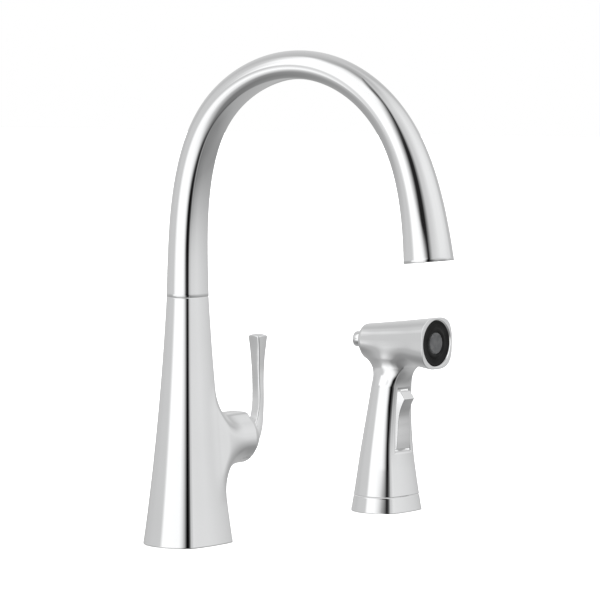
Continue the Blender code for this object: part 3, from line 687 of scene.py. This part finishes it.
disc_plastic = finish("dark_grey_plastic", ((0.055, 0.056, 0.058), (0.085, 0.086, 0.088)),
                      (0.35, 0.5), scale=220.0, bump=0.2, bump_scale=1400.0, specular=0.25)
white_plastic = finish("white_plastic", ((0.74, 0.73, 0.70), (0.80, 0.79, 0.77)), (0.35, 0.48),
                       scale=90.0, bump=0.12, bump_scale=1200.0)
ceramic = finish("lapped_ceramic", ((0.82, 0.80, 0.76), (0.88, 0.87, 0.84)), (0.12, 0.20),
                 scale=90.0, coat=0.3)

# CAD nodes that keep their own shape, by finish
CARRIED_OVER = {
    brass: ("mounting_shank", "mounting_nut", "waterway", "hot_inlet", "cold_inlet",
            "spray_outlet", "cartridge_nut", "cartridge_stem", "spout_post", "spout_socket",
            "outlet_bushing", "diverter_seat"),
    steel: ("clamp_plate", "clamp_screw_left", "clamp_screw_right", "stem_pin",
            "handle_set_screw", "spout_clip", "aerator_screen", "diverter_spring", "trigger_pin",
            "valve_plunger", "valve_spring", "mode_spring"),
    rubber: ("base_gasket", "deck_seal", "cartridge_seal", "post_oring_lower",
             "post_oring_upper", "aerator_washer", "holder_gasket", "holder_washer"),
    black_plastic: ("holder_shank", "hose_nipple", "valve_housing", "nozzle_core",
                    "spool_guide"),
    grey_plastic: ("cartridge_base", "cartridge_rotor", "diverter_piston", "diverter_cap"),
    white_plastic: ("cartridge_housing", "swivel_washer", "aerator_insert", "holder_nut"),
    ceramic: ("fixed_disc", "moving_disc"),
    satin_chrome: ("aerator_housing",),
}
for kept_finish, kept_nodes in CARRIED_OVER.items():
    for kept in kept_nodes:
        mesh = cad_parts[kept].data
        for i in range(len(mesh.materials)):
            mesh.materials[i] = kept_finish


# --- pieces --------------------------------------------------------------------------------------
def cast(name, field, u, v, w, body, node, place=None):
    """Chrome casting: the level surface of its field on the grid u, v, w."""
    verts, faces, normals = level_surface(field, u, v, w, place)
    add_piece(name, verts, faces, normals, chrome, body, node)


# the two edges of a flat, in radii across, as fine places of a grid
FLAT_EDGES = ((-0.6947, 0.05, 0.012), (0.6947, 0.05, 0.012))

cast("faucet_body_chrome", body_field,
     spaced(-1.06, 2.62, 0.040,
            FLAT_EDGES + ((HUB_END / HUB_SCALE, 0.03, 0.012), (2.17, 0.25, 0.024))),
     spaced(-1.06, 1.08, 0.040, ((-0.735, 0.06, 0.012), (0.755, 0.04, 0.018))),
     spaced(-0.9, BODY_TOP + 0.9, 1.2,
            ((0.4, 1.0, 0.3), (BODY_TOP, 0.9, 0.25), (HUB_HEIGHT + 19.5, 3.0, 0.4),
             (HUB_HEIGHT - 19.3, 1.5, 0.45))),
     "deck_fixed", "faucet_body", body_place)

build_spout(chrome)

cast("lever_handle_chrome", handle_field,
     spaced(53.2, 93.5, 0.62, ((54.0, 0.6, 0.3),)),
     spaced(-18.8, 18.8, 0.62),
     spaced(58.6, 159.8, 0.8, ((157.6, 1.6, 0.4),)),
     "handle", "lever_handle")

cast("wand_shell_chrome", wand_field,
     spaced(-1.37, 1.37, 0.04, FLAT_EDGES + ((-0.435, 0.02, 0.015), (0.435, 0.02, 0.015))),
     spaced(-2.75, 2.0, 0.05, ((-0.735, 0.05, 0.014), (-2.66, 0.06, 0.015), (1.9, 0.08, 0.03))),
     spaced(WAND_BOTTOM - 0.8, 165.6, 0.95,
            ((WAND_BOTTOM + 0.2, 0.6, 0.3), (SLOT_FOOT, 0.6, 0.4), (SLOT_TOP, 0.6, 0.4),
             (HEAD_HEIGHT, 20.5, 0.65))),
     "wand", "wand_shell", wand_place)

cast("spray_holder_chrome", holder_field,
     spaced(SPRAY_X - 30.8, SPRAY_X + 30.8, 0.9),
     spaced(-24.8, 31.0, 0.9),
     spaced(-0.6, 13.6, 0.7, ((0.3, 0.5, 0.3), (HOLDER_TOP - 0.3, 0.5, 0.3))),
     "deck_fixed", "spray_holder")

cast("trigger_chrome", trigger_field,
     spaced(SPRAY_X - 10.4, SPRAY_X + 10.4, 0.5),
     spaced(-24.0, -9.5, 0.45),
     spaced(51.2, 102.4, 0.7, ((CREST_Z, 2.0, 0.4), (100.8, 1.0, 0.4))),
     "trigger", "trigger")


# --- sprayer face and button ---------------------------------------------------------------------
HEAD_AXIS = (SPRAY_X, 0.0, HEAD_HEIGHT)
ON_AXIS = 0.001            # radius of a profile's end that lies on the axis


def turned(name, profile, material, body, node, around=96):
    """Piece turned about the head's axis from a profile of (radius, distance forward)."""
    turn = np.linspace(0, 2 * math.pi, around, endpoint=False)
    rows = [np.stack([radius * np.cos(turn), np.full(around, -at), radius * np.sin(turn)], axis=1)
            for radius, at in profile]
    is_ring = profile[0][0] > ON_AXIS
    add_piece(name, np.concatenate(rows) + np.array(HEAD_AXIS),
              grid_faces(len(rows), around, looped=is_ring), None, material, body, node)


turned("spray_ring_rubber",
       ((19.2, 49.4), (19.2, 50.3), (18.9, 50.6), (17.6, 50.7), (17.2, 50.3), (16.7, 50.2),
        (13.4, 50.2), (12.9, 50.3), (12.5, 50.6), (10.4, 50.6), (9.9, 50.3), (9.4, 50.0),
        (9.0, 49.9), (9.0, 49.4)),
       rubber, "wand", "spray_ring")
turned("stream_disc_grey",
       ((ON_AXIS, 50.5), (4.0, 50.55), (7.2, 50.5), (7.6, 50.65), (8.4, 50.6), (8.7, 50.3),
        (8.7, 49.4), (ON_AXIS, 49.4)),
       disc_plastic, "wand", "stream_disc")
turned("mode_button_chrome",
       ((ON_AXIS, -31.5), (6.0, -31.5), (6.4, -31.3), (6.6, -30.9), (6.6, -20.9),
        (6.3, -20.6), (2.2, -20.6), (2.2, 42.0), (ON_AXIS, 42.0)),
       chrome, "button", "mode_button")


# --- springs: each a copy of its CAD coil, carried on the body that holds it ---------------------
# name, CAD node, body, joint, axis of travel, fixed end (mm), and the share of its length that is
# left at the limit
SPRINGS = (
    ("diverter_coil_steel", "diverter_spring", "deck_fixed", "diverter_lift",
     (0, 0, 1), (0.0, 0.0, 204.25), 0.70),
    ("valve_coil_steel", "valve_spring", "wand", "plunger_slide",
     (0, 1, 0), (SPRAY_X, -4.35, 90.0), 0.50),
    ("mode_coil_steel", "mode_spring", "wand", "button_push",
     (0, 1, 0), (SPRAY_X, 7.1, HEAD_HEIGHT), 0.80),
)
for name, node, carrier, joint, axis, fixed_end, share_left in SPRINGS:
    coil = bpy.data.objects.new(name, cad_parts[node].data.copy())
    stand_for(coil, node, carrier)
    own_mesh(coil)

# the chrome takes its reflections from the studio alone
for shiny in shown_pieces():
    shiny.visible_glossy = False


# --- surroundings --------------------------------------------------------------------------------
def ramp_node(tree, stops, factor):
    """Grey ramp over 0..1 with (place, value) stops."""
    node = tree.nodes.new("ShaderNodeValToRGB")
    band = node.color_ramp
    band.interpolation = 'LINEAR'
    while len(band.elements) < len(stops):
        band.elements.new(0.5)
    for stop, (at, value) in zip(band.elements, sorted(stops)):
        stop.position = at
        stop.color = (value, value, value, 1.0)
    tree.links.new(factor, node.inputs["Fac"])
    return node.outputs["Color"]


def math_node(tree, operation, *values):
    """Math node fed by numbers and sockets."""
    node = tree.nodes.new("ShaderNodeMath")
    node.operation = operation
    for socket, value in zip(node.inputs, values):
        if isinstance(value, (int, float)):
            socket.default_value = value
        else:
            tree.links.new(value, socket)
    return node.outputs["Value"]


CAMERA_PLACE = (-2.1224, -1.7688, 0.3774)
CAMERA_TILT = math.radians(86.117)
CAMERA_HEADING = math.radians(-52.0)
CAMERA_LENS = 213.9
TOWARDS = (math.sin(CAMERA_HEADING), -math.cos(CAMERA_HEADING), 0.0)
RIGHT = (math.cos(CAMERA_HEADING), math.sin(CAMERA_HEADING), 0.0)

# Studio seen in the chrome. Each row is an angle of height with (angle round, level of light)
# pairs, both in degrees, the angle round from the camera and negative to its left. A large softbox
# stands on the left, a narrow black flag at the camera and a grey fill on the right and behind.
STUDIO = (
    (-70, ((-180, .42), (-60, .22), (-20, .12), (4, .12), (40, .22), (60, .24), (180, .42))),
    (-45, ((-180, .46), (-150, .40), (-110, .26), (-60, .20), (-28, .22), (-17, .18),
           (-8, .08), (2, .08), (20, .28), (50, .30), (80, .22), (120, .26), (150, .40),
           (180, .46))),
    (-30, ((-180, .48), (-150, .42), (-110, .32), (-72, .28), (-50, .58), (-30, .62),
           (-16, .40), (-8, .10), (-3, .03), (1, .03), (8, .10), (30, .38), (60, .20),
           (80, .18), (110, .28), (150, .42), (180, .48))),
    (-20, ((-180, .50), (-150, .38), (-100, .37), (-80, .55), (-60, 1.0), (-32, .98),
           (-18, .78), (-8, .19), (-3, .02), (2, .01), (12, .10), (30, .36), (60, .24),
           (80, .22), (100, .33), (130, .30), (155, .42), (180, .50))),
    (-9, ((-180, .40), (-110, .44), (-90, .50), (-84, 1.0), (-78, 1.15), (-28, 1.1),
          (-20, .88), (-16, .66), (-8, .05), (-5, .003), (1, .003), (8, .05), (20, .18),
          (40, .42), (80, .40), (95, .56), (120, .46), (180, .40))),
    (-2, ((-180, .55), (-107, .62), (-83, .63), (-76, .90), (-66, 1.12), (-25, 1.08),
          (-20, .92), (-16, .66), (-9, .05), (-5, .002), (1, .002), (8, .13), (20, .40),
          (32, .60), (60, .56), (95, .76), (120, .60), (150, .50), (180, .55))),
    (4, ((-180, .60), (-165, .60), (-130, .54), (-110, .62), (-77, .635), (-68, 1.12),
         (-24, 1.10), (-15, .84), (-9, .45), (-5, .13), (-3, .001), (2, .001), (8, .28),
         (12, .47), (20, .60), (40, .63), (60, .79), (80, .83), (115, .76), (130, .52),
         (160, .62), (180, .60))),
    (8.5, ((-180, .72), (-165, .60), (-130, .54), (-110, .62), (-79, .635), (-70, 1.12),
           (-22, 1.08), (-14, .82), (-8, .46), (-4, .12), (-2, .001), (4, .001), (9, .28),
           (13, .47), (20, .60), (40, .63), (60, .79), (80, .83), (115, .76), (130, .52),
           (160, .62), (180, .72))),
    (13, ((-180, .72), (-130, .53), (-112, .62), (-89, .63), (-81, 1.15), (-44, 1.12),
          (-30, .57), (-19, .06), (-16, .015), (0, .018), (8, .25), (18, .61), (40, .75),
          (60, .87), (90, .88), (115, .76), (130, .50), (155, .58), (180, .72))),
    (33, ((-180, .66), (-160, .63), (-130, .54), (-100, .66), (-90, 1.12), (-40, 1.08),
          (-20, .23), (-15, .02), (0, .018), (8, .27), (18, .61), (35, .67), (60, .89),
          (85, .90), (115, .79), (132, .72), (150, .51), (180, .66))),
    (55, ((-180, .62), (-115, .52), (-97, 1.12), (-33, 1.08), (-20, .52), (-8, .03),
          (-4, .03), (8, .61), (30, .64), (80, .86), (125, .75), (150, .54), (180, .62))),
    (66, ((-180, .60), (-110, .48), (-90, .57), (-75, .92), (-42, .92), (-25, .17), (-12, .05),
          (0, .37), (8, .65), (80, .78), (125, .72), (180, .60))),
    (80, ((-180, .47), (-100, .39), (-40, .37), (-28, .17), (-10, .38), (4, .60), (180, .47))),
)


def studio_world():
    """World that is white to the camera and the studio to everything else."""
    world = bpy.data.worlds.new("studio")
    bpy.context.scene.world = world
    world.use_nodes = True
    tree = world.node_tree
    tree.nodes.clear()
    place = tree.nodes.new("ShaderNodeTexCoord").outputs["Generated"]

    def along(vector):
        node = tree.nodes.new("ShaderNodeVectorMath")
        node.operation = 'DOT_PRODUCT'
        tree.links.new(place, node.inputs[0])
        node.inputs[1].default_value = vector
        return node.outputs["Value"]

    turn = math_node(tree, 'ARCTAN2', along(RIGHT), along(TOWARDS))
    round_place = math_node(tree, 'MULTIPLY_ADD', turn, 1 / (2 * math.pi), 0.5)
    height = math_node(tree, 'ARCSINE', along((0.0, 0.0, 1.0)))

    light = None
    for i, (angle, levels) in enumerate(STUDIO):
        stops = [((at + 180.0) / 360.0, level) for at, level in levels]
        here = ramp_node(tree, stops, round_place)
        if light is None:
            light = here
            continue
        share = tree.nodes.new("ShaderNodeMapRange")
        share.inputs["From Min"].default_value = math.radians(STUDIO[i - 1][0])
        share.inputs["From Max"].default_value = math.radians(angle)
        tree.links.new(height, share.inputs["Value"])
        node = tree.nodes.new("ShaderNodeMix")      # its colour sockets are inputs 6 and 7
        node.data_type = 'RGBA'
        tree.links.new(share.outputs["Result"], node.inputs["Factor"])
        tree.links.new(light, node.inputs[6])
        tree.links.new(here, node.inputs[7])
        light = node.outputs[2]

    reflected = tree.nodes.new("ShaderNodeBackground")
    tree.links.new(light, reflected.inputs["Color"])
    backdrop = tree.nodes.new("ShaderNodeBackground")
    backdrop.inputs["Color"].default_value = (1.0, 1.0, 1.0, 1.0)
    seen = tree.nodes.new("ShaderNodeLightPath").outputs["Is Camera Ray"]
    choose = tree.nodes.new("ShaderNodeMixShader")
    tree.links.new(seen, choose.inputs["Fac"])
    tree.links.new(reflected.outputs["Background"], choose.inputs[1])
    tree.links.new(backdrop.outputs["Background"], choose.inputs[2])
    out = tree.nodes.new("ShaderNodeOutputWorld")
    tree.links.new(choose.outputs["Shader"], out.inputs["Surface"])


studio_world()

FLOOR_HALF = 12.0
floor_mesh = bpy.data.meshes.new("floor")
floor_mesh.from_pydata([(-FLOOR_HALF, -FLOOR_HALF, 0.0), (FLOOR_HALF, -FLOOR_HALF, 0.0),
                        (FLOOR_HALF, FLOOR_HALF, 0.0), (-FLOOR_HALF, FLOOR_HALF, 0.0)],
                       [], [(0, 1, 2, 3)])
floor_mesh.materials.append(finish("pale_floor", ((0.95, 0.95, 0.95), (0.97, 0.97, 0.97)),
                                   (0.6, 0.7), scale=3.0))
floor = bpy.data.objects.new("floor", floor_mesh)
bpy.context.scene.collection.objects.link(floor)
floor.visible_glossy = False

SUN_STRENGTH = 4.2
SUN_SPREAD = math.radians(100.0)
SUN_TILT = math.radians(10.0)
top_light = bpy.data.lights.new("overhead", 'SUN')
top_light.energy = SUN_STRENGTH
top_light.angle = SUN_SPREAD
overhead = bpy.data.objects.new("overhead", top_light)
overhead.rotation_euler = (SUN_TILT, 0.0, 0.0)
overhead.visible_glossy = False
bpy.context.scene.collection.objects.link(overhead)

camera_data = bpy.data.cameras.new("camera")
camera_data.sensor_width = 36.0
camera_data.lens = CAMERA_LENS
camera_data.clip_end = 100.0
camera = bpy.data.objects.new("camera", camera_data)
camera.location = CAMERA_PLACE
camera.rotation_euler = (CAMERA_TILT, 0.0, CAMERA_HEADING)
bpy.context.scene.collection.objects.link(camera)
bpy.context.scene.camera = camera
bpy.context.scene.view_settings.view_transform = 'Standard'
